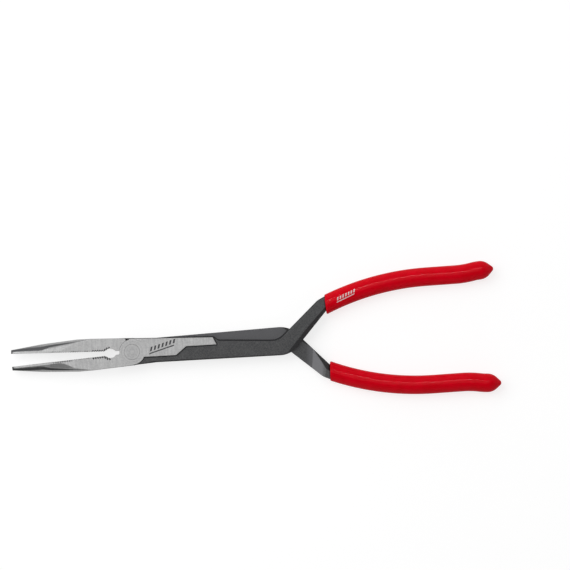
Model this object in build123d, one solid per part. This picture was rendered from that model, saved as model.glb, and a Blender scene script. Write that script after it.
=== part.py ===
from build123d import *
import os
from math import cos, radians, sin, tan

# Long-reach needle nose pliers, lying flat. Millimetres.
# +Z is the pivot axis, with z = 0 on the resting plane. The jaws point to -X, the handles to +X.
# Each lever is drawn once, in the "closed" frame: pivot at (0, 0), jaw below the X axis,
# handle above it, in the front half (the half away from the resting plane) of the lap joint.

# --- whole tool ---------------------------------------------------------------
THICKNESS = 12.0            # ground joint faces, jaws and grips all lie between z = 0 and z = 12
MID_Z = THICKNESS / 2
LAP_GAP = 0.05              # each lap face stands this far back from the mid-plane
REST_HALF_ANGLE = 3.0       # each lever stands open by this much, degrees
TIP_GAP = 0.1               # each gripping face stands this far back from the centre line at the tip
BACK_GAP = 0.55             # and this far at the hollow: the jaws close on their tips first

# --- lap joint ----------------------------------------------------------------
BOSS_R = 8.5                # round boss of each lever about the pivot
BOSS_CLEARANCE = 0.12       # radial gap between a boss and the other jaw's hollow
LAP_SHOULDER_ANGLE = 96.9   # shoulder that stops the joint, on the lap
JAW_SHOULDER_ANGLE = -117.2     # shoulder that stops the joint, on the jaw's inner half
SHOULDER_R = 9.35
RIVET_HEAD_R = 5.3
RIVET_HEAD_H = 1.6
RIVET_SHANK_R = 3.5
RIVET_RIM = 0.12            # chamfer round each rivet head
RUNNING_CLEARANCE = 0.05

# --- jaw ----------------------------------------------------------------------
TIP_X = -81.6
TIP_DEPTH = 2.6             # jaw depth at the tip, from gripping face to outer edge
TIP_HALF_THICKNESS = 1.9
TIP_CORNER = 1.5
TIP_DRAFT = 0.3             # how far the outer side leans out from its edges to its middle
NOSE_END_X = -61.5          # the round nose runs out into the flat-sided jaw from here
NOSE_END_DEPTH = 6.05
NOSE_END_CORNER = 4.2
SHOULDER_X = -56.0          # to here, where the jaw has its full thickness
SHOULDER_DEPTH = 6.75
SHOULDER_CORNER = 3.0       # outer edge rounding
SHOULDER_DRAFT = 1.2
WIDEST_X = -37.0
WIDEST_DEPTH = 8.95
WIDEST_CORNER = 1.5
WIDEST_DRAFT = 1.0
JAW_ROOT_X = -28.0
JAW_DEPTH = 9.2
JAW_CORNER = 0.3
JAW_DRAFT = 0.05
RUN_OUT_STEPS = 6

# --- gripping face ------------------------------------------------------------
FLAT_TEETH_START = -54.0
FLAT_TEETH_END = -27.0
FLAT_TOOTH_DEPTH = 0.32
PIPE_TEETH_END = -14.6      # the deeper teeth go on into the hollow, to its deepest place
PIPE_TOOTH_DEPTH = 0.65
TOOTH_PITCH = 1.55
HOLLOW_X = -14.7            # smooth oval hollow next to the throat
HOLLOW_HALF_LENGTH = 4.1
HOLLOW_DEPTH = 2.4
HOLLOW_R = (HOLLOW_HALF_LENGTH**2 + HOLLOW_DEPTH**2) / (2 * HOLLOW_DEPTH)
THROAT_HALF_HEIGHT = 0.8

# --- shank, knee and arm ------------------------------------------------------
SHANK_FACE_Z = 11.0         # the dark forged faces lie 1 mm below the ground ones
WAIST = (8.0, -8.5)         # narrowest place of the outer edge, just behind the boss
KNEE_OUTER = (105.9, -15.15)
KNEE_OUTER_R = 16.0
KNEE_INNER = (98.5, -4.5)
KNEE_INNER_R = 11.0
MOUTH_X = 133.0             # front end of the grip
ARM_TOP = (128.0, 19.0)     # the arm's upper edge turns into the handle here
ARM_TOP_R = 12.0
MOUTH_TOP = (MOUTH_X, 21.0)
MOUTH_BOTTOM = (MOUTH_X, 11.3)
SHANK_EDGE_R = 0.9          # rounded edge of the forged face
SWEEP_R = 121.5             # beyond this radius no part of the other lever ever passes
RAMP_END_R = 131.0          # the arm's inner face has reached the tang's depth here
ARM_HEADING = 42.0          # degrees from +X
FACE_DROP_START = (116.0, 2.5)   # the arm's outer face starts to drop towards the grip here
FACE_DROP_TILT = 1.8        # degrees
PALM_BEVEL_WIDTH = 4.4      # bevels along the arm's palm side, this wide along Y at the grip
OUTER_BEVEL_START = (103.0, -14.1)
OUTER_BEVEL_Z = 9.0         # the outer face's bevel meets the arm's side at this height
INNER_BEVEL_START = (121.5, 0.1)
INNER_BEVEL_Z = 4.4

# --- raised pad and tongue ----------------------------------------------------
PAD_RIM_R = 8.7
TONGUE_TOP = (55.2, 3.3)
TONGUE_END = (57.4, -2.3)
SHANK_START = (57.9, 0.7)   # the forged inner edge starts at the tongue's end
PAD_CORNERS = [(36.6, -1.0), (29.2, -6.1), (7.4, -4.6)]
PAD_CHAMFER = 0.4

# --- handle and grip ----------------------------------------------------------
PATH_START = (127.0, 13.1)  # centre line of the handle
PATH_HEADING = 22.0         # degrees from +X
ARCH_R = 177.0
ARCH_TURN = -25.0
WAIST_RUN = 19.5
KICK_R = 64.0
KICK_TURN = 11.0
TAIL_R = 30.0               # the end turns back a little towards the palm
TAIL_TURN = -7.0
END_RUN = 0.5
TANG_WIDTH = 8.4
TANG_THICKNESS = 8.0
TANG_BOTTOM_Z = MID_Z - TANG_THICKNESS / 2
TANG_CORNER = 2.4
TANG_OVERLAP = 0.1          # the tang starts this far ahead of the grip's mouth
GRIP_WIDTH = 12.6
GRIP_THICKNESS = 12.0
GRIP_END = 10.8             # length of the grip's closed, blunt-pointed end
GRIP_END_HALF_ANGLE = 43.0  # of its cone, degrees
GRIP_END_SHOULDER_R = 9.0
GRIP_END_TIP_R = 2.2
LIP_R = 0.8

FAR = 200.0                 # size of the blocks that cut off all that lies beyond a plane
ABOVE_AND_BEYOND = (Align.MIN, Align.CENTER, Align.MIN)


def polar(radius, degrees):
    return (radius * cos(radians(degrees)), radius * sin(radians(degrees)))


def blend(a, b, share):
    return a + (b - a) * share


def prism(outline, bottom, top):
    """The outline, drawn on XY, as a solid between two heights."""
    return extrude(Pos(0, 0, bottom) * outline, amount=top - bottom)


def round_corner(outline, corner, radius):
    """Round the outline's vertex that lies at the given corner."""
    vertex = outline.vertices().sort_by_distance((corner[0], corner[1], 0))[0]
    return fillet(vertex, radius)


# --- jaw ----------------------------------------------------------------------
def jaw_gap(x):
    """How far the gripping face stands back from the centre line."""
    share = min(1, (x - TIP_X) / (HOLLOW_X - TIP_X))
    return blend(TIP_GAP, BACK_GAP, share)


def jaw_section(x, depth, half_thickness, corner, draft):
    """D-shaped section of the jaw: flat gripping face, rounded outer edges, outer side with draft."""
    gap = jaw_gap(x)
    inner = depth - draft
    outline = make_face(Polyline((-gap, half_thickness), (-inner, half_thickness), (-depth, 0),
                                 (-inner, -half_thickness), (-gap, -half_thickness), close=True))
    outline = round_corner(outline, (-inner, half_thickness), corner)
    outline = round_corner(outline, (-inner, -half_thickness), corner)
    return Plane(origin=(x, 0, MID_Z), x_dir=(0, 1, 0), z_dir=(1, 0, 0)) * outline


def jaw_stations():
    """Stations along the jaw: round nose, run-out into the flat sides, then the flat-sided jaw."""
    stations = [(TIP_X, TIP_DEPTH, TIP_HALF_THICKNESS, TIP_CORNER, TIP_DRAFT)]
    for step in range(RUN_OUT_STEPS + 1):
        share = step / RUN_OUT_STEPS
        eased = share * share * (3 - 2 * share)
        x = blend(NOSE_END_X, SHOULDER_X, share)
        depth = blend(NOSE_END_DEPTH, SHOULDER_DEPTH, share)
        taper = (x - TIP_X) / (SHOULDER_X - TIP_X)
        half = blend(TIP_HALF_THICKNESS, MID_Z, taper)
        draft = blend(TIP_DRAFT, SHOULDER_DRAFT, taper)
        corner = blend(NOSE_END_CORNER, SHOULDER_CORNER, eased)
        stations.append((x, depth, half, corner, draft))
    stations.append((WIDEST_X, WIDEST_DEPTH, MID_Z, WIDEST_CORNER, WIDEST_DRAFT))
    stations += [(x, JAW_DEPTH, MID_Z, JAW_CORNER, JAW_DRAFT) for x in (JAW_ROOT_X, HOLLOW_X, 0)]
    return stations


def face_y(x):
    """Height of the gripping face: flat, then the round hollow by the throat."""
    reach = abs(x - HOLLOW_X)
    if reach >= HOLLOW_HALF_LENGTH:
        return -jaw_gap(x)
    return min(-jaw_gap(x), HOLLOW_R - HOLLOW_DEPTH - (HOLLOW_R**2 - reach**2)**0.5)


def teeth(start, end, depth):
    """V grooves across the gripping face, a whole number of them from start to end."""
    count = round((end - start) / TOOTH_PITCH)
    pitch = (end - start) / count
    grooves = []
    for index in range(count):
        left = start + index * pitch
        middle = left + pitch / 2
        right = left + pitch
        outline = Polyline((left, 1), (left, face_y(left)), (middle, face_y(middle) - depth),
                           (right, face_y(right)), (right, 1), close=True)
        grooves.append(prism(make_face(outline), -1, THICKNESS + 1))
    return grooves


def make_jaw():
    jaw = loft([jaw_section(*station) for station in jaw_stations()], ruled=True)
    jaw -= Pos(HOLLOW_X, HOLLOW_R - HOLLOW_DEPTH, MID_Z) * Cylinder(HOLLOW_R, THICKNESS + 2)
    jaw -= teeth(FLAT_TEETH_START, FLAT_TEETH_END, FLAT_TOOTH_DEPTH)
    jaw -= teeth(FLAT_TEETH_END, PIPE_TEETH_END, PIPE_TOOTH_DEPTH)

    throat = Rectangle(-HOLLOW_X, 2 * THROAT_HALF_HEIGHT, align=(Align.MAX, Align.CENTER))
    jaw -= prism(throat, -1, THICKNESS + 1)

    opposite = Circle(BOSS_R + BOSS_CLEARANCE)
    opposite += make_face(Polyline((0, 0), polar(FAR, JAW_SHOULDER_ANGLE), (FAR, -FAR),
                                   (FAR, FAR), (0, FAR), close=True))
    return jaw - prism(opposite, -1, MID_Z + LAP_GAP)


# --- lap, shank and arm -------------------------------------------------------
def lap_edge():
    """Points of the lap's upper edge, from the boss over the stop shoulder to the tongue."""
    return [polar(BOSS_R - 1, LAP_SHOULDER_ANGLE), polar(SHOULDER_R, LAP_SHOULDER_ANGLE), TONGUE_TOP]


def shank_outline():
    points = lap_edge() + [SHANK_START, KNEE_INNER, ARM_TOP, MOUTH_TOP, MOUTH_BOTTOM, KNEE_OUTER,
                           WAIST, (0, -JAW_DEPTH), (0, 0)]
    outline = make_face(Polyline(*points, close=True))
    outline = round_corner(outline, KNEE_INNER, KNEE_INNER_R)
    outline = round_corner(outline, ARM_TOP, ARM_TOP_R)
    return round_corner(outline, KNEE_OUTER, KNEE_OUTER_R)


def palm_bevel(start, inside, edge):
    """Block that cuts a bevel along the arm: from its start to two points at the grip."""
    along = inside - start
    outward = (edge - start).cross(along)
    if outward.dot(Vector(1, -1, 0)) < 0:
        outward = -outward
    plane = Plane(origin=start, x_dir=along, z_dir=outward)
    return plane * Box(FAR, FAR, FAR, align=(Align.CENTER, Align.CENTER, Align.MIN))


def palm_bevels():
    """The bevels of the arm's outer face and of its inner face, which is lower towards the grip."""
    inside_y = MOUTH_BOTTOM[1] + PALM_BEVEL_WIDTH
    outer = palm_bevel(Vector(*OUTER_BEVEL_START, SHANK_FACE_Z), Vector(MOUTH_X, inside_y, SHANK_FACE_Z),
                       Vector(*MOUTH_BOTTOM, OUTER_BEVEL_Z))
    inner = palm_bevel(Vector(*INNER_BEVEL_START, MID_Z + LAP_GAP), Vector(MOUTH_X, inside_y, TANG_BOTTOM_Z),
                       Vector(*MOUTH_BOTTOM, INNER_BEVEL_Z))
    return [outer, inner]


def make_shank():
    """The dark forged part: flat faces, rounded edges, half as thick as the joint up to the arm."""
    shank = prism(shank_outline(), TANG_BOTTOM_Z, SHANK_FACE_Z)

    # The outer face drops a little along the arm, towards the grip.
    drop = Rot(0, 0, ARM_HEADING) * Rot(0, FACE_DROP_TILT, 0) * Box(FAR, FAR, FAR, align=ABOVE_AND_BEYOND)
    shank -= Pos(*FACE_DROP_START, SHANK_FACE_Z) * drop

    face_edges = shank.edges().filter_by(lambda edge: edge.center().Z > SHANK_FACE_Z - 1)
    long_edges = [edge for edge in face_edges
                  if WAIST[0] < edge.center().X < MOUTH_X - 0.5 and not is_fold(edge)]
    shank = fillet(long_edges, SHANK_EDGE_R)

    # The inner face steps back clear of the other lever's sweep, then ramps to the tang's depth.
    ramp_height = MID_Z + LAP_GAP - TANG_BOTTOM_Z
    sweep_cone = Cone(RAMP_END_R, SWEEP_R, ramp_height, align=(Align.CENTER, Align.CENTER, Align.MAX))
    return shank - Pos(0, 0, MID_Z + LAP_GAP) * sweep_cone


def is_fold(edge):
    """True for the shallow fold that crosses the arm's outer face."""
    heading = (edge @ 1 - edge @ 0).normalized()
    across_arm = Vector(-sin(radians(ARM_HEADING)), cos(radians(ARM_HEADING)), 0)
    return abs(heading.dot(across_arm)) > 0.99


def make_lap():
    """The ground boss, pad and tongue, which rise to the full thickness."""
    raised = make_face(Polyline(*lap_edge(), TONGUE_END, *PAD_CORNERS, (0, 0), close=True))
    pad = prism(raised, MID_Z + LAP_GAP, THICKNESS)
    pad = chamfer(pad.edges().group_by(Axis.Z)[-1], PAD_CHAMFER)
    lap = pad + prism(Circle(PAD_RIM_R), MID_Z + LAP_GAP, THICKNESS)

    # Ahead of the stop shoulder the boss is round, clear of the other jaw's hollow.
    ahead = make_face(Polyline((0, 0), polar(FAR, LAP_SHOULDER_ANGLE), (-FAR, FAR), (-FAR, 0), close=True))
    ahead -= Circle(BOSS_R)
    return lap - prism(ahead, 0, THICKNESS + 1)


# --- handle -------------------------------------------------------------------
def handle_path(end_run):
    """Centre line of the handle: a long arch, a straight waist, a kick outwards, a turn back."""
    start = (*PATH_START, MID_Z)
    heading = (cos(radians(PATH_HEADING)), sin(radians(PATH_HEADING)), 0)
    arch = JernArc(start, heading, ARCH_R, ARCH_TURN)
    waist = Line(arch @ 1, arch @ 1 + (arch % 1) * WAIST_RUN)
    kick = JernArc(waist @ 1, waist % 1, KICK_R, KICK_TURN)
    tail = JernArc(kick @ 1, kick % 1, TAIL_R, TAIL_TURN)
    end = Line(tail @ 1, tail @ 1 + (tail % 1) * end_run)
    return Wire([arch, waist, kick, tail, end])


def across(path, at):
    """Plane square to the handle's centre line: its x is the width, its y the thickness."""
    return Plane(origin=path @ at, x_dir=(path % at).cross(Vector(0, 0, 1)), z_dir=path % at)


def before(x):
    """Block that holds everything ahead of a plane square to the tool's long axis."""
    return Pos(x, 0, MID_Z) * Box(FAR, FAR, FAR, align=(Align.MAX, Align.CENTER, Align.CENTER))


def make_tang():
    """The part of the lever that the grip covers."""
    path = handle_path(END_RUN)
    tang = sweep(across(path, 0) * RectangleRounded(TANG_WIDTH, TANG_THICKNESS, TANG_CORNER), path)
    return tang - before(MOUTH_X - TANG_OVERLAP)


def make_grip_end():
    """The closed end along +Z: a short round stretch, then a cone with a rounded shoulder and tip."""
    radius = GRIP_WIDTH / 2
    cone_base = GRIP_END - radius / tan(radians(GRIP_END_HALF_ANGLE))
    outline = make_face(Polyline((-radius, 0), (-radius, cone_base), (0, GRIP_END), (radius, cone_base),
                                 (radius, 0), close=True))
    outline = round_corner(outline, (-radius, cone_base), GRIP_END_SHOULDER_R)
    outline = round_corner(outline, (radius, cone_base), GRIP_END_SHOULDER_R)
    outline = round_corner(outline, (0, GRIP_END), GRIP_END_TIP_R)
    half = outline & Rectangle(radius, GRIP_END, align=Align.MIN)
    end = revolve(Plane.XZ * half, Axis.Z)
    return scale(end, by=(1, GRIP_THICKNESS / GRIP_WIDTH, 1))


def make_grip_outside():
    path = handle_path(END_RUN)
    grip = sweep(across(path, 0) * Ellipse(GRIP_WIDTH / 2, GRIP_THICKNESS / 2), path)
    grip += across(path, 1) * make_grip_end()
    grip -= before(MOUTH_X)
    mouth = grip.faces().sort_by(Axis.X)[0]
    return fillet(mouth.outer_wire().edges(), LIP_R)


# --- assembly -----------------------------------------------------------------
def rivet_bore(clearance):
    """The hole in a lever for the rivet's shank, with room for its head in the outer face."""
    head_room = RIVET_HEAD_H + clearance
    bore = Pos(0, 0, MID_Z) * Cylinder(RIVET_SHANK_R + clearance, THICKNESS + 2)
    head = Cylinder(RIVET_HEAD_R + clearance, head_room + 1, align=(Align.CENTER, Align.CENTER, Align.MIN))
    return bore + Pos(0, 0, THICKNESS - head_room) * head


def make_rivet():
    rivet = Cylinder(RIVET_SHANK_R, THICKNESS, align=(Align.CENTER, Align.CENTER, Align.MIN))
    head = Cylinder(RIVET_HEAD_R, RIVET_HEAD_H, align=(Align.CENTER, Align.CENTER, Align.MIN))
    rivet += head + Pos(0, 0, THICKNESS - RIVET_HEAD_H) * head
    rims = rivet.edges().filter_by(lambda edge: edge.center().Z < 0.1 or edge.center().Z > THICKNESS - 0.1)
    return chamfer(rims, RIVET_RIM)


def as_front(solid):
    return Rot(0, 0, REST_HALF_ANGLE) * solid


def as_rear(solid):
    """The same piece turned over about the tool's long axis."""
    turned = Pos(0, 0, MID_Z) * Rot(180, 0, 0) * Pos(0, 0, -MID_Z) * solid
    return Rot(0, 0, -REST_HALF_ANGLE) * turned


lever = make_jaw() + (make_shank() - palm_bevels()) + make_lap() + make_tang()
grip = make_grip_outside() - lever

nodes = {
    "front_lever": as_front(lever - rivet_bore(0)),
    "rear_lever": as_rear(lever - rivet_bore(RUNNING_CLEARANCE)),
    "pivot_rivet": make_rivet(),
    "upper_grip": as_front(grip),
    "lower_grip": as_rear(grip),
}

os.makedirs("parts", exist_ok=True)
for name, solid in nodes.items():
    export_step(solid, f"parts/{name}.step")
    box = solid.bounding_box()
    print(name, len(solid.solids()), round(solid.volume), box.min, box.max)
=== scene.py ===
from math import cos, pi, radians, sin

import bpy
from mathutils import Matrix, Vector

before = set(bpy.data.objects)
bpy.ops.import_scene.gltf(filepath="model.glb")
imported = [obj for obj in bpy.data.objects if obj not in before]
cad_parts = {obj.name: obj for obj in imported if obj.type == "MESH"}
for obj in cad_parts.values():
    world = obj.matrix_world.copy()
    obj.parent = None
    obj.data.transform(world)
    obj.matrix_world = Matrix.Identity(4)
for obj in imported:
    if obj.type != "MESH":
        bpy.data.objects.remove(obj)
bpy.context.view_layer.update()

# Long-reach needle nose pliers, lying flat on a pale table and seen from straight above.
# The scene is in metres: +X runs along the tool to the handles, +Z is up, and the pivot is at (0, 0).
# Materials are drawn in millimetres. A lever's is drawn on the forging as it lies when the tool is
# shut, with its padded side up, so that both levers share one description.

MM = 0.001
REST_HALF_ANGLE = radians(3.0)      # each lever stands open by this much at rest
THICKNESS = 12.0                    # mm, over the joint
MID_HEIGHT = THICKNESS / 2


# --- node building ------------------------------------------------------------
class Nodes:
    """Builds nodes in one tree. Inputs may be numbers, colours or other nodes' outputs."""

    def __init__(self, tree):
        self.tree = tree

    def add(self, kind, **settings):
        node = self.tree.nodes.new(kind)
        for key, value in settings.items():
            setattr(node, key, value)
        return node

    def feed(self, socket, value):
        if isinstance(value, bpy.types.NodeSocket):
            self.tree.links.new(value, socket)
        else:
            socket.default_value = value

    def feed_all(self, sockets, values):
        for socket, value in zip(sockets, values):
            self.feed(socket, value)

    def math(self, operation, a, b=0.0, c=0.0):
        node = self.add("ShaderNodeMath", operation=operation)
        self.feed_all(node.inputs, (a, b, c))
        return node.outputs[0]

    def plus(self, a, b):
        return self.math("ADD", a, b)

    def minus(self, a, b):
        return self.math("SUBTRACT", a, b)

    def times(self, a, b):
        return self.math("MULTIPLY", a, b)

    def dot(self, a, b):
        node = self.add("ShaderNodeVectorMath", operation="DOT_PRODUCT")
        self.feed_all(node.inputs, (a, b))
        return node.outputs["Value"]

    def radius(self, x, y):
        return self.math("SQRT", self.math("MULTIPLY_ADD", x, x, self.times(y, y)))

    def step(self, value, low, high, start=0.0, end=1.0, curve="SMOOTHSTEP"):
        """Goes from start to end as value goes from low to high."""
        node = self.add("ShaderNodeMapRange", interpolation_type=curve)
        self.feed_all(node.inputs, (value, low, high, start, end))
        return node.outputs[0]

    def above(self, value, border, soft):
        """0 below the border and 1 above it, with the change spread over soft on each side."""
        return self.step(value, border - soft, border + soft)

    def below(self, value, border, soft):
        """1 below the border and 0 above it."""
        return self.step(value, border - soft, border + soft, 1.0, 0.0)

    def within(self, value, low, high, soft):
        """1 between low and high and 0 outside."""
        return self.both(self.above(value, low, soft), self.below(value, high, soft))

    def both(self, *masks):
        result = masks[0]
        for mask in masks[1:]:
            result = self.times(result, mask)
        return result

    def either(self, *masks):
        result = masks[0]
        for mask in masks[1:]:
            result = self.math("MAXIMUM", result, mask)
        return result

    def weighted_sum(self, *shares):
        """Sum of (value, weight) pairs."""
        total = 0.0
        for value, weight in shares:
            total = self.math("MULTIPLY_ADD", value, weight, total)
        return total

    def number(self, share, a, b):
        """a where share is 0, b where it is 1."""
        node = self.add("ShaderNodeMix", data_type="FLOAT")
        self.feed_all((node.inputs[0], node.inputs[2], node.inputs[3]), (share, a, b))
        return node.outputs[0]

    def colour(self, share, a, b):
        """a where share is 0, b where it is 1."""
        node = self.add("ShaderNodeMix", data_type="RGBA")
        self.feed_all((node.inputs[0], node.inputs[6], node.inputs[7]), (share, a, b))
        return node.outputs[2]

    def ramp(self, value, stops):
        """Grey levels at (position, brightness) stops, and even changes between them."""
        node = self.add("ShaderNodeValToRGB")
        elements = node.color_ramp.elements
        while len(elements) < len(stops):
            elements.new(0.5)
        for element, (position, brightness) in zip(elements, stops):
            element.position = position
            element.color = (brightness, brightness, brightness, 1.0)
        self.feed(node.inputs[0], value)
        return node.outputs[0]


class Shader(Nodes):
    """The nodes of one material. Lengths are in millimetres."""

    EDGE_LIKENESS = (0.80, 0.98)    # of the rounded normal to the face's own: on an edge, and clear of it

    def __init__(self, name):
        self.material = bpy.data.materials.new(name)
        self.material.use_nodes = True
        super().__init__(self.material.node_tree)

    def place(self, rotation=(0.0, 0.0, 0.0), shift=(0.0, 0.0, 0.0)):
        """The surface point in the piece's own frame, turned and then shifted."""
        turned = self.add("ShaderNodeMapping")
        self.feed(turned.inputs["Vector"], self.add("ShaderNodeTexCoord").outputs["Object"])
        turned.inputs["Rotation"].default_value = rotation
        scaled = self.add("ShaderNodeVectorMath", operation="SCALE")
        self.feed(scaled.inputs[0], turned.outputs[0])
        scaled.inputs["Scale"].default_value = 1 / MM
        shifted = self.add("ShaderNodeVectorMath", operation="ADD")
        self.feed_all(shifted.inputs, (scaled.outputs[0], shift))
        return shifted.outputs[0]

    def split(self, place):
        node = self.add("ShaderNodeSeparateXYZ")
        self.feed(node.inputs[0], place)
        return node.outputs[0], node.outputs[1], node.outputs[2]

    def join(self, x, y, z):
        node = self.add("ShaderNodeCombineXYZ")
        self.feed_all(node.inputs, (x, y, z))
        return node.outputs[0]

    def noise(self, place, scale, detail=3.0, roughness=0.55, contrast=None):
        """Noise from 0 to 1, with scale in waves a millimetre. Contrast is the range stretched to 0 to 1."""
        node = self.add("ShaderNodeTexNoise")
        self.feed(node.inputs["Vector"], place)
        self.feed(node.inputs["Scale"], scale)
        self.feed(node.inputs["Detail"], detail)
        self.feed(node.inputs["Roughness"], roughness)
        return self.step(node.outputs[0], *contrast) if contrast else node.outputs[0]

    def wander(self, place, scale, reach, detail=3.0):
        """Noise about 0, to move a border to and fro within reach."""
        return self.times(self.minus(self.noise(place, scale, detail), 0.5), reach)

    def normal(self):
        return self.add("ShaderNodeNewGeometry").outputs["Normal"]

    def facing_up(self):
        """1 on faces that lie flat, 0 on upright ones."""
        return self.math("ABSOLUTE", self.split(self.normal())[2])

    def rounded_normal(self, edge_radius):
        """The normal as it would be if sharp edges were rounded."""
        node = self.add("ShaderNodeBevel", samples=4)
        node.inputs["Radius"].default_value = edge_radius * MM
        return node.outputs[0]

    def edges(self, rounded_normal):
        """1 on the edges that the rounded normal rounds."""
        return self.step(self.dot(rounded_normal, self.normal()), *self.EDGE_LIKENESS, 1.0, 0.0)

    def openness(self, reach):
        """1 in the open, falling towards 0 in corners that are closed in within reach."""
        node = self.add("ShaderNodeAmbientOcclusion", samples=8)
        node.inputs["Distance"].default_value = reach * MM
        return node.outputs["AO"]

    def bump(self, height, under=None):
        node = self.add("ShaderNodeBump")
        node.inputs["Strength"].default_value = 1.0
        node.inputs["Distance"].default_value = MM
        self.feed(node.inputs["Height"], height)
        if under is not None:
            self.feed(node.inputs["Normal"], under)
        return node.outputs[0]

    def finish(self, **inputs):
        """Feeds the surface's inputs, whose names have _ for a space, and returns the material."""
        surface = self.tree.nodes["Principled BSDF"]
        for name, value in inputs.items():
            self.feed(surface.inputs[name.replace("_", " ")], value)
        return self.material


# --- the generic mark ---------------------------------------------------------
MARK_STROKES = 7
MARK_PITCH = 2.7            # from one stroke to the next
MARK_STROKE = 1.35          # a stroke's width
MARK_HALF_LENGTH = MARK_STROKES // 2 * MARK_PITCH + MARK_STROKE / 2
MARK_SLANT = 0.60           # how far a stroke leans for its height
MARK_FOOT, MARK_TOP = 0.0, 2.6
BAR_FOOT, BAR_TOP = -1.7, -0.9
MARK_SOFT = 0.06


def hatch_mark(shader, place, centre, turn, size=1.0):
    """A mask of a plain mark in place of a maker's: a row of slanted strokes over a bar."""
    x, y, _ = shader.split(place)
    x = shader.minus(x, centre[0])
    y = shader.minus(y, centre[1])
    along = shader.plus(shader.times(x, cos(turn)), shader.times(y, sin(turn)))
    up = shader.minus(shader.times(y, cos(turn)), shader.times(x, sin(turn)))
    along = shader.math("DIVIDE", along, size)
    up = shader.math("DIVIDE", up, size)
    slanted = shader.minus(along, shader.times(up, MARK_SLANT))
    off_stroke = shader.math("PINGPONG", slanted, MARK_PITCH / 2)
    strokes = shader.both(
        shader.below(off_stroke, MARK_STROKE / 2, MARK_SOFT),
        shader.within(up, MARK_FOOT, MARK_TOP, MARK_SOFT),
    )
    bar = shader.within(up, BAR_FOOT, BAR_TOP, MARK_SOFT)
    length = shader.within(slanted, -MARK_HALF_LENGTH, MARK_HALF_LENGTH, MARK_SOFT)
    return shader.both(length, shader.either(strokes, bar))


# --- bare steel ---------------------------------------------------------------
STEEL_DARK = (0.53, 0.53, 0.535, 1.0)
STEEL_LIGHT = (0.80, 0.80, 0.795, 1.0)
STEEL_STAINED = (0.20, 0.20, 0.205, 1.0)
TOOTH_SHADE = (0.06, 0.06, 0.062, 1.0)
ETCHED = (0.10, 0.10, 0.105, 1.0)
EDGE_R = 0.35               # what sharp edges are worn to

ROUND_MARKS_R = 8.85        # grinding marks run round the pivot out to about here
GRIND_STRETCH = 0.12        # how fast the marks change along their length, against across it
GRIND_DEPTH = 0.008
MARKS_CONTRAST = (0.35, 0.65)


def grinding(shader, place):
    """Height and tone (0 to 1) of surface-grinding marks: across the jaws, and round the rivet."""
    x, y, z = shader.split(place)
    radius = shader.radius(x, y)
    round_rivet = shader.below(radius, ROUND_MARKS_R, 1.25)
    across_marks = shader.number(round_rivet, x, radius)
    along_marks = shader.number(round_rivet, shader.times(y, GRIND_STRETCH), 0.0)
    marks = shader.join(across_marks, along_marks, shader.times(z, GRIND_STRETCH))
    fine = shader.noise(marks, 4.0, detail=4.0)
    broad = shader.noise(marks, 0.8, contrast=MARKS_CONTRAST)
    mottle = shader.noise(place, 0.9, detail=4.0, contrast=MARKS_CONTRAST)
    cloudy = shader.noise(place, 0.12, detail=2.0)
    tone = shader.weighted_sum((fine, 0.25), (broad, 0.25), (mottle, 0.28), (cloudy, 0.22))
    return shader.times(fine, GRIND_DEPTH), tone


# The jaw, from its tip to the joint. Y is 0 on the centre line, and the jaw lies on the -Y side.
TIP_X, SHOULDER_X, JAW_ROOT_X = -81.6, -56.0, -28.0
JAW_BACK_X = -8.4           # the jaw's bare steel ends about here,
JAW_BACK_RAGGED = 2.4       # on a line that wanders this much
TIP_HALF_THICKNESS = 1.9
FACE_UNEVEN = 0.10          # so does the edge of its ground faces, in height
GRIPPING_DEPTH = 1.15       # the gripping side is bare this far out from the centre line
SHOULDER_ROUNDING = 1.2     # how deep the rounded edge reaches below the face at the shoulder
NOSE_FLAT_X = SHOULDER_X - 16.0
NOSE_FLAT_BARE = 0.45       # how bare the outer flat is ahead of there


def ground_jaw(shader, x, y, off_middle, place):
    """Where the jaw is ground bare: its flat faces, gripping side and outer flats, not its rounded edges."""
    half_thickness = shader.step(x, TIP_X, SHOULDER_X, TIP_HALF_THICKNESS, MID_HEIGHT, curve="LINEAR")
    uneven = shader.wander(place, 0.8, FACE_UNEVEN)
    below_face = shader.plus(shader.minus(half_thickness, off_middle), uneven)
    face = shader.below(below_face, 0.05, 0.04)
    gripping_side = shader.above(y, -GRIPPING_DEPTH, 0.25)
    rounding = shader.step(x, SHOULDER_X, JAW_ROOT_X, SHOULDER_ROUNDING, 0.0)
    outer_flat = shader.both(
        shader.above(shader.minus(below_face, rounding), 0.0, 0.4),
        shader.step(x, NOSE_FLAT_X, SHOULDER_X, NOSE_FLAT_BARE, 1.0),
    )
    behind = shader.above(x, JAW_ROOT_X, 1.0)
    ragged_x = shader.plus(x, shader.wander(place, 0.5, JAW_BACK_RAGGED, detail=4.0))
    jaw = shader.below(ragged_x, JAW_BACK_X, 0.5)
    return shader.both(jaw, shader.either(face, gripping_side, outer_flat, behind))


SLOPE_FULL_X, SLOPE_END_X = -50.0, -31.0
SLOPE_START_Y = -1.5        # where the slope starts, from the tip to its full x
SLOPE_GONE_Y = -9.5         # where it starts at its end, which is past the jaw's side
SLOPE = 0.21                # how far it falls for its width


def hand_ground_slope(shader, x, y):
    """How far the jaw's face is ground down towards the outer edge, where the nose begins."""
    start = shader.step(x, SLOPE_FULL_X, SLOPE_END_X, -SLOPE_START_Y, -SLOPE_GONE_Y)
    beyond = shader.minus(shader.minus(0.0, y), start)
    on_jaw = shader.below(x, SLOPE_END_X + 0.5, 0.5)
    return shader.both(shader.math("MAXIMUM", beyond, 0.0), on_jaw, SLOPE)


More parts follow.
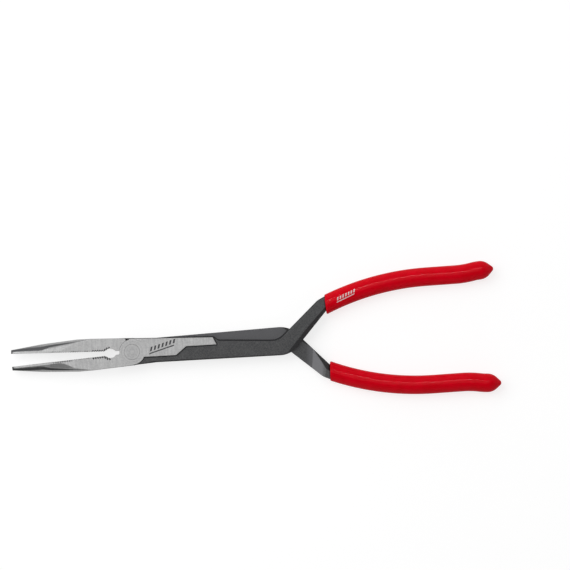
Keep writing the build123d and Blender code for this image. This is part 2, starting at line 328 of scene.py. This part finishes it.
FLAT_TEETH_START = -54.0
PIPE_TEETH_START = -27.0
TOOTH_PITCH = 1.55
PIPE_TOOTH_DEPTH = 0.65
FLAT_TOOTH_DEPTH = 0.32
FACE_GAP = 0.3              # how far the gripping face stands back from the centre line, on average
BACK_GAP = 0.5              # the same beside the hollow
HOLLOW_X = -14.7
HOLLOW_R = 4.7
HOLLOW_DEPTH = 2.4
HOLLOW_CENTRE_Y = HOLLOW_R - HOLLOW_DEPTH
TOOTH_RIM = 0.75            # how far the shade reaches below the grooves
FLAT_TEETH_SHADE = 0.7
FLAT_TEETH_PATCHES = (0.38, 0.60)


def tooth_valleys(shader, x, depth, start, tooth_depth):
    """The shaded bottoms of a row of V grooves, where depth is measured down from the crests."""
    off_crest = shader.math("PINGPONG", shader.minus(x, start), TOOTH_PITCH / 2)
    valley = shader.times(off_crest, 2 / TOOTH_PITCH)
    below_flank = shader.minus(depth, shader.times(valley, tooth_depth))
    return shader.both(
        shader.within(below_flank, -0.2, TOOTH_RIM, 0.12),
        shader.step(valley, 0.0, 0.6, 0.25, 1.0),
    )


def gripping_teeth(shader, x, y, place):
    """Shade along the coarse teeth by the throat, and fainter along the fine ones further out."""
    off_centre = shader.radius(shader.minus(x, HOLLOW_X), shader.minus(y, HOLLOW_CENTRE_Y))
    below_back = shader.math("MINIMUM", shader.minus(-BACK_GAP, y), shader.minus(off_centre, HOLLOW_R))
    coarse = shader.both(
        tooth_valleys(shader, x, below_back, PIPE_TEETH_START, PIPE_TOOTH_DEPTH),
        shader.within(x, PIPE_TEETH_START, HOLLOW_X, 0.4),
    )
    below_face = shader.minus(-FACE_GAP, y)
    fine = shader.both(
        tooth_valleys(shader, x, below_face, FLAT_TEETH_START, FLAT_TOOTH_DEPTH),
        shader.within(x, FLAT_TEETH_START, PIPE_TEETH_START, 0.4),
        shader.noise(place, 0.12, detail=2.0, contrast=FLAT_TEETH_PATCHES),
        FLAT_TEETH_SHADE,
    )
    return shader.either(coarse, fine)


PAINTED_TIP_SHADE = (TIP_X + 0.5, TIP_X + 1.6)      # the tip is painted dark, as shade for the dark its rounded end mirrors, and that fades out between these
PAINTED_TIP_SHADE_SHARE = 0.92


def jaw_steel(shader, place, tone):
    """The colour of the lever's bare steel, with its shaded teeth and a tip painted dark as shade."""
    x, y, _ = shader.split(place)
    steel = shader.colour(tone, STEEL_DARK, STEEL_LIGHT)
    steel = shader.colour(gripping_teeth(shader, x, y, place), steel, TOOTH_SHADE)
    # painted shade: the tip is darkened, for the dark its rounded end mirrors
    return shader.colour(shader.step(x, *PAINTED_TIP_SHADE, PAINTED_TIP_SHADE_SHARE, 0.0), steel, TOOTH_SHADE)


# --- black oxide --------------------------------------------------------------
OXIDE_DARK = (0.072, 0.073, 0.075, 1.0)
OXIDE_LIGHT = (0.170, 0.171, 0.174, 1.0)
# worn edges, lighter also as a painted highlight
OXIDE_WORN_AND_GLINT = (0.50, 0.50, 0.505, 1.0)
# painted shade for the upright sides, where the light falls away
SIDE_SHADE = (0.022, 0.022, 0.023, 1.0)
SATIN = (0.19, 0.19, 0.20, 1.0)
# painted shade for corners and the foot of steps
CORNER_SHADE = (0.012, 0.012, 0.013, 1.0)
CORNER_SHADE_REACH = 0.8
CORNER_SHADE_SPREAD = (0.65, 0.97, 0.95, 0.0)      # two opennesses, and the share of painted shade at each
SIDE_SHADE_SPREAD = (0.76, 0.985, 0.80, 0.0)     # two values of facing_up, and the share of painted side shade at each
GRAIN_CONTRAST = (0.38, 0.64)
WEAR_AND_GLINT_PATCHES = (0.40, 0.70)

INNER_R = 106.0             # the shank's inner face is machined out to about here,
INNER_Z = 6.25              # and lies no higher than this
INNER_SHARE = 0.7
RAMP_START_R = 118.25
RAMP_END_R = 129.0
RAMP_BEYOND = 0.2           # how satin it still is past its end
RAMP_Z = 6.7                # it lies no higher than this
RAMP_FACING = 0.88          # and flatter than this
RAMP_SHARE = 0.8


def machined_ramp(shader, place):
    """Where the arm's inner face ramps away from the other lever, it is machined to a satin finish."""
    x, y, z = shader.split(place)
    radius = shader.radius(x, y)
    return shader.both(
        shader.above(radius, RAMP_START_R, 2.25),
        shader.step(radius, RAMP_END_R - 1.0, RAMP_END_R + 1.0, 1.0, RAMP_BEYOND),
        shader.below(z, RAMP_Z, 0.3),
        shader.above(shader.facing_up(), RAMP_FACING, 0.02),
    )


def black_oxide(shader, place, grain, edges, satin):
    """The colour of the forged skin: painted shade on its sides, worn edges lightened also as painted
    highlights, satin where it is machined, and painted shade in corners."""
    x, y, z = shader.split(place)
    speckle = shader.step(grain, *GRAIN_CONTRAST)
    broad = shader.noise(place, 0.14)
    oxide = shader.colour(shader.weighted_sum((speckle, 0.55), (broad, 0.45)), OXIDE_DARK, OXIDE_LIGHT)
    # painted shade: faces that stand upright are darkened, as the light falls away from them
    oxide = shader.colour(shader.step(shader.facing_up(), *SIDE_SHADE_SPREAD), oxide, SIDE_SHADE)
    # edges lightened in patches: partly wear, partly a painted highlight along the edges
    wear_and_glint = shader.both(edges, shader.noise(place, 0.5, detail=4.0, contrast=WEAR_AND_GLINT_PATCHES))
    oxide = shader.colour(wear_and_glint, oxide, OXIDE_WORN_AND_GLINT)
    inner_face = shader.both(
        shader.below(z, INNER_Z, 0.15),
        shader.below(shader.radius(x, y), INNER_R, 6.0),
        INNER_SHARE,
    )
    oxide = shader.colour(inner_face, oxide, SATIN)
    oxide = shader.colour(shader.times(satin, RAMP_SHARE), oxide, SATIN)
    # painted shade: corners and the foot of steps are darkened where they are closed in
    return shader.colour(shader.step(shader.openness(CORNER_SHADE_REACH), *CORNER_SHADE_SPREAD), oxide, CORNER_SHADE)


# --- the levers and the rivet -------------------------------------------------
GROUND_DEPTH = 5.88         # the joint's faces are bare this far and more from the mid-height
ETCHED_DEPTH = 0.06
PAD_MARK_CENTRE = (20.5, 0.6)
PAD_MARK_TURN = radians(12.0)
OXIDE_ROUGH, SATIN_ROUGH = 0.05, 0.012      # height of the forged skin and of the machined ramp
RIVET_R = 5.3
RIVET_RING = 0.12           # how dark the rivet's rim is stained


def lever_steel(name, turned):
    """Forged steel: black oxide on the shanks and arms, bare ground steel on the jaws and the joint."""
    shader = Shader(name)
    if turned:
        place = shader.place((pi, 0.0, -REST_HALF_ANGLE), (0.0, 0.0, THICKNESS))
    else:
        place = shader.place((0.0, 0.0, -REST_HALF_ANGLE))
    x, y, z = shader.split(place)
    off_middle = shader.math("ABSOLUTE", shader.minus(z, MID_HEIGHT))
    bare = shader.either(
        ground_jaw(shader, x, y, off_middle, place),
        shader.above(off_middle, GROUND_DEPTH, 0.06),
    )

    grind_height, tone = grinding(shader, place)
    steel = jaw_steel(shader, place, tone)
    if not turned:
        on_pad = shader.above(z, THICKNESS - ETCHED_DEPTH, 0.04)
        mark = shader.both(hatch_mark(shader, place, PAD_MARK_CENTRE, PAD_MARK_TURN), on_pad)
        steel = shader.colour(mark, steel, ETCHED)

    edge_normal = shader.rounded_normal(EDGE_R)
    grain = shader.noise(place, 1.3, detail=6.0, roughness=0.7)
    satin = machined_ramp(shader, place)
    oxide = black_oxide(shader, place, grain, shader.edges(edge_normal), satin)
    oxide_height = shader.times(grain, shader.number(satin, OXIDE_ROUGH, SATIN_ROUGH))
    oxide_roughness = shader.number(grain, 0.34, 0.46)
    steel_roughness = shader.number(tone, 0.40, 0.28)

    height = shader.number(bare, oxide_height, grind_height)
    height = shader.minus(height, hand_ground_slope(shader, x, y))
    return shader.finish(
        Base_Color=shader.colour(bare, oxide, steel),
        Metallic=shader.number(bare, 0.80, 1.0),
        Roughness=shader.number(bare, oxide_roughness, steel_roughness),
        Normal=shader.bump(height, under=edge_normal),
    )


def rivet_steel():
    """Bare steel, ground round the pivot, with a faint stain where it meets the lever."""
    shader = Shader("rivet_steel")
    place = shader.place()
    x, y, _ = shader.split(place)
    grind_height, tone = grinding(shader, place)
    steel = shader.colour(tone, STEEL_DARK, STEEL_LIGHT)
    rim = shader.above(shader.radius(x, y), RIVET_R - 0.3, 0.15)
    return shader.finish(
        Base_Color=shader.colour(shader.times(rim, RIVET_RING), steel, STEEL_STAINED),
        Metallic=1.0,
        Roughness=shader.number(tone, 0.42, 0.30),
        Normal=shader.bump(grind_height, under=shader.rounded_normal(EDGE_R)),
    )


# --- the grips ----------------------------------------------------------------
VINYL_DEEP = (0.55, 0.0, 0.006, 1.0)
VINYL_BRIGHT = (0.61, 0.0, 0.009, 1.0)
WAVE_DEPTH = 0.4            # slow waves, left as the vinyl ran down in the dip
PEEL_DEPTH = 0.004          # fine orange peel
PRINT = (0.62, 0.50, 0.50, 1.0)
PRINT_CENTRE = (146.0, 27.0)
PRINT_TURN = radians(22.0)
PRINT_SIZE = 0.75
PRINT_Z = THICKNESS - 2.75  # the print shows on the grip's top, above here


def dipped_vinyl(name, printed):
    """Glossy dipped vinyl, slightly wavy and dulled in patches by handling."""
    shader = Shader(name)
    place = shader.place()
    waves = shader.noise(place, 0.06, detail=2.0)
    peel = shader.noise(place, 0.9)
    handling = shader.noise(place, 0.22, detail=5.0)
    height = shader.plus(shader.times(waves, WAVE_DEPTH), shader.times(peel, PEEL_DEPTH))
    colour = shader.colour(shader.step(handling, 0.3, 0.7), VINYL_DEEP, VINYL_BRIGHT)
    if printed:
        on_top = shader.above(shader.split(place)[2], PRINT_Z, 0.25)
        mark = shader.both(hatch_mark(shader, place, PRINT_CENTRE, PRINT_TURN, PRINT_SIZE), on_top)
        colour = shader.colour(mark, colour, PRINT)
    return shader.finish(
        Base_Color=colour,
        Roughness=shader.step(handling, 0.35, 0.7, 0.07, 0.13),
        Specular_IOR_Level=0.10,
        Normal=shader.bump(height),
    )


def paint(node, material):
    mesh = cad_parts[node].data
    mesh.materials.clear()
    mesh.materials.append(material)


# --- studio, in metres --------------------------------------------------------
FLOOR_HALF = 3.0
FLOOR_DROP = 0.0001
FLOOR_DARK = (0.33, 0.33, 0.33, 1.0)
FLOOR_LIGHT = (0.35, 0.35, 0.35, 1.0)
FLOOR_GLOW = 0.76           # a light table, so that the gaps in the tool stay pale
FLOOR_MIRRORED = 0.30       # the part of that glow which the tool's sides mirror
TOOL_MIDDLE = (0.08, 0.0, 0.006)
GRIPS = ("upper_grip", "lower_grip")


def make_floor():
    mesh = bpy.data.meshes.new("floor")
    signs = ((-1, -1), (1, -1), (1, 1), (-1, 1))
    corners = [(x * FLOOR_HALF, y * FLOOR_HALF, -FLOOR_DROP) for x, y in signs]
    mesh.from_pydata(corners, [], [(0, 1, 2, 3)])
    floor = bpy.data.objects.new("floor", mesh)
    bpy.context.collection.objects.link(floor)
    shader = Shader("pale_floor")
    mirrored = shader.add("ShaderNodeLightPath").outputs["Is Glossy Ray"]
    mesh.materials.append(shader.finish(
        Base_Color=shader.colour(shader.noise(shader.place(), 0.01, detail=2.0), FLOOR_DARK, FLOOR_LIGHT),
        Roughness=0.8,
        Specular_IOR_Level=0.1,
        Emission_Color=(1.0, 1.0, 1.0, 1.0),
        Emission_Strength=shader.number(mirrored, FLOOR_GLOW, FLOOR_GLOW * FLOOR_MIRRORED),
    ))


def area_light(name, place, size, power, glossy=True, only_on=()):
    """A soft light aimed at the tool. With only_on, it lights those nodes and nothing else."""
    data = bpy.data.lights.new(name, "AREA")
    data.shape = "RECTANGLE"
    data.size, data.size_y = size
    data.energy = power
    light = bpy.data.objects.new(name, data)
    light.location = place
    light.rotation_euler = (Vector(TOOL_MIDDLE) - Vector(place)).to_track_quat("-Z", "Y").to_euler()
    light.visible_camera = False
    light.visible_glossy = glossy
    if only_on:
        lit = bpy.data.collections.new(name + "_lit")
        for node in only_on:
            lit.objects.link(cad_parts[node])
        light.light_linking.receiver_collection = lit
    bpy.context.collection.objects.link(light)


# Brightness of the room by height (0 is the horizon, 1 is straight up), and of the overhead panel,
# which stands a little to the window side.
ROOM = ((0.00, 0.60), (0.50, 0.46), (0.68, 0.40), (0.85, 0.22), (0.97, 0.16))
PANEL_AIM = (-0.14, 0.24, 0.96)
PANEL_FADE = (0.875, 0.955)     # cosines from the panel's aim, at its outer edge and inner edge
PANEL_BRIGHTNESS = 0.94
WINDOW_SIDE = (-0.50, 0.86, 0.0)
WINDOW_FADE = (-0.9, 0.9)
WINDOW_RANGE = (0.85, 1.05)     # from the far side of the room to the window side
BACKDROP = (0.93, 0.93, 0.93, 1.0)


def make_sky():
    """A soft panel overhead in a dimmer room, so that flat steel is light and its edges are dark."""
    world = bpy.data.worlds.new("studio")
    world.use_nodes = True
    bpy.context.scene.world = world
    sky = Nodes(world.node_tree)
    direction = sky.add("ShaderNodeTexCoord").outputs["Generated"]

    def towards(aim, *spread):
        """A change as light comes from nearer to the aim: two cosines, and the value at each."""
        return sky.step(sky.dot(direction, Vector(aim).normalized()), *spread)

    height = towards((0.0, 0.0, 1.0), 0.0, 1.0, 0.0, 1.0)
    room = sky.times(sky.ramp(height, ROOM), towards(WINDOW_SIDE, *WINDOW_FADE, *WINDOW_RANGE))
    panel = towards(PANEL_AIM, *PANEL_FADE, 0.0, PANEL_BRIGHTNESS)
    from_camera = sky.add("ShaderNodeLightPath").outputs["Is Camera Ray"]
    seen = sky.colour(from_camera, sky.math("MAXIMUM", room, panel), BACKDROP)
    sky.feed(sky.tree.nodes["Background"].inputs[0], seen)


CAMERA_ROLL = radians(-4.1)     # the tool's axis rises to the right
CAMERA_LENS = 200.0
SENSOR = 36.0
FRAME_WIDTH = 0.3842            # what the frame spans at the tool's mid-height
AIM = (0.1058, 0.0375, 0.006)


def make_camera():
    data = bpy.data.cameras.new("camera")
    data.lens = CAMERA_LENS
    data.sensor_width = SENSOR
    data.clip_start, data.clip_end = 0.01, 50.0
    camera = bpy.data.objects.new("camera", data)
    distance = FRAME_WIDTH * CAMERA_LENS / SENSOR
    camera.location = Vector(AIM) + Vector((0.0, 0.0, distance))
    camera.rotation_euler = (0.0, 0.0, CAMERA_ROLL)
    bpy.context.collection.objects.link(camera)
    bpy.context.scene.camera = camera


# --- the scene ----------------------------------------------------------------
paint("front_lever", lever_steel("forged_steel_front", turned=False))
paint("rear_lever", lever_steel("forged_steel_rear", turned=True))
paint("pivot_rivet", rivet_steel())
paint("upper_grip", dipped_vinyl("dipped_vinyl_printed", printed=True))
paint("lower_grip", dipped_vinyl("dipped_vinyl_plain", printed=False))

make_floor()
area_light("strip", place=(0.10, 0.80, 1.60), size=(1.5, 0.10), power=6.5, only_on=GRIPS)
area_light("left", place=(-1.50, 0.30, 1.35), size=(1.2, 1.2), power=6.0)
area_light("fill", place=(-0.45, 0.62, 1.00), size=(0.9, 0.9), power=6.3, glossy=False)
make_sky()
make_camera()
bpy.context.scene.view_settings.view_transform = "Standard"
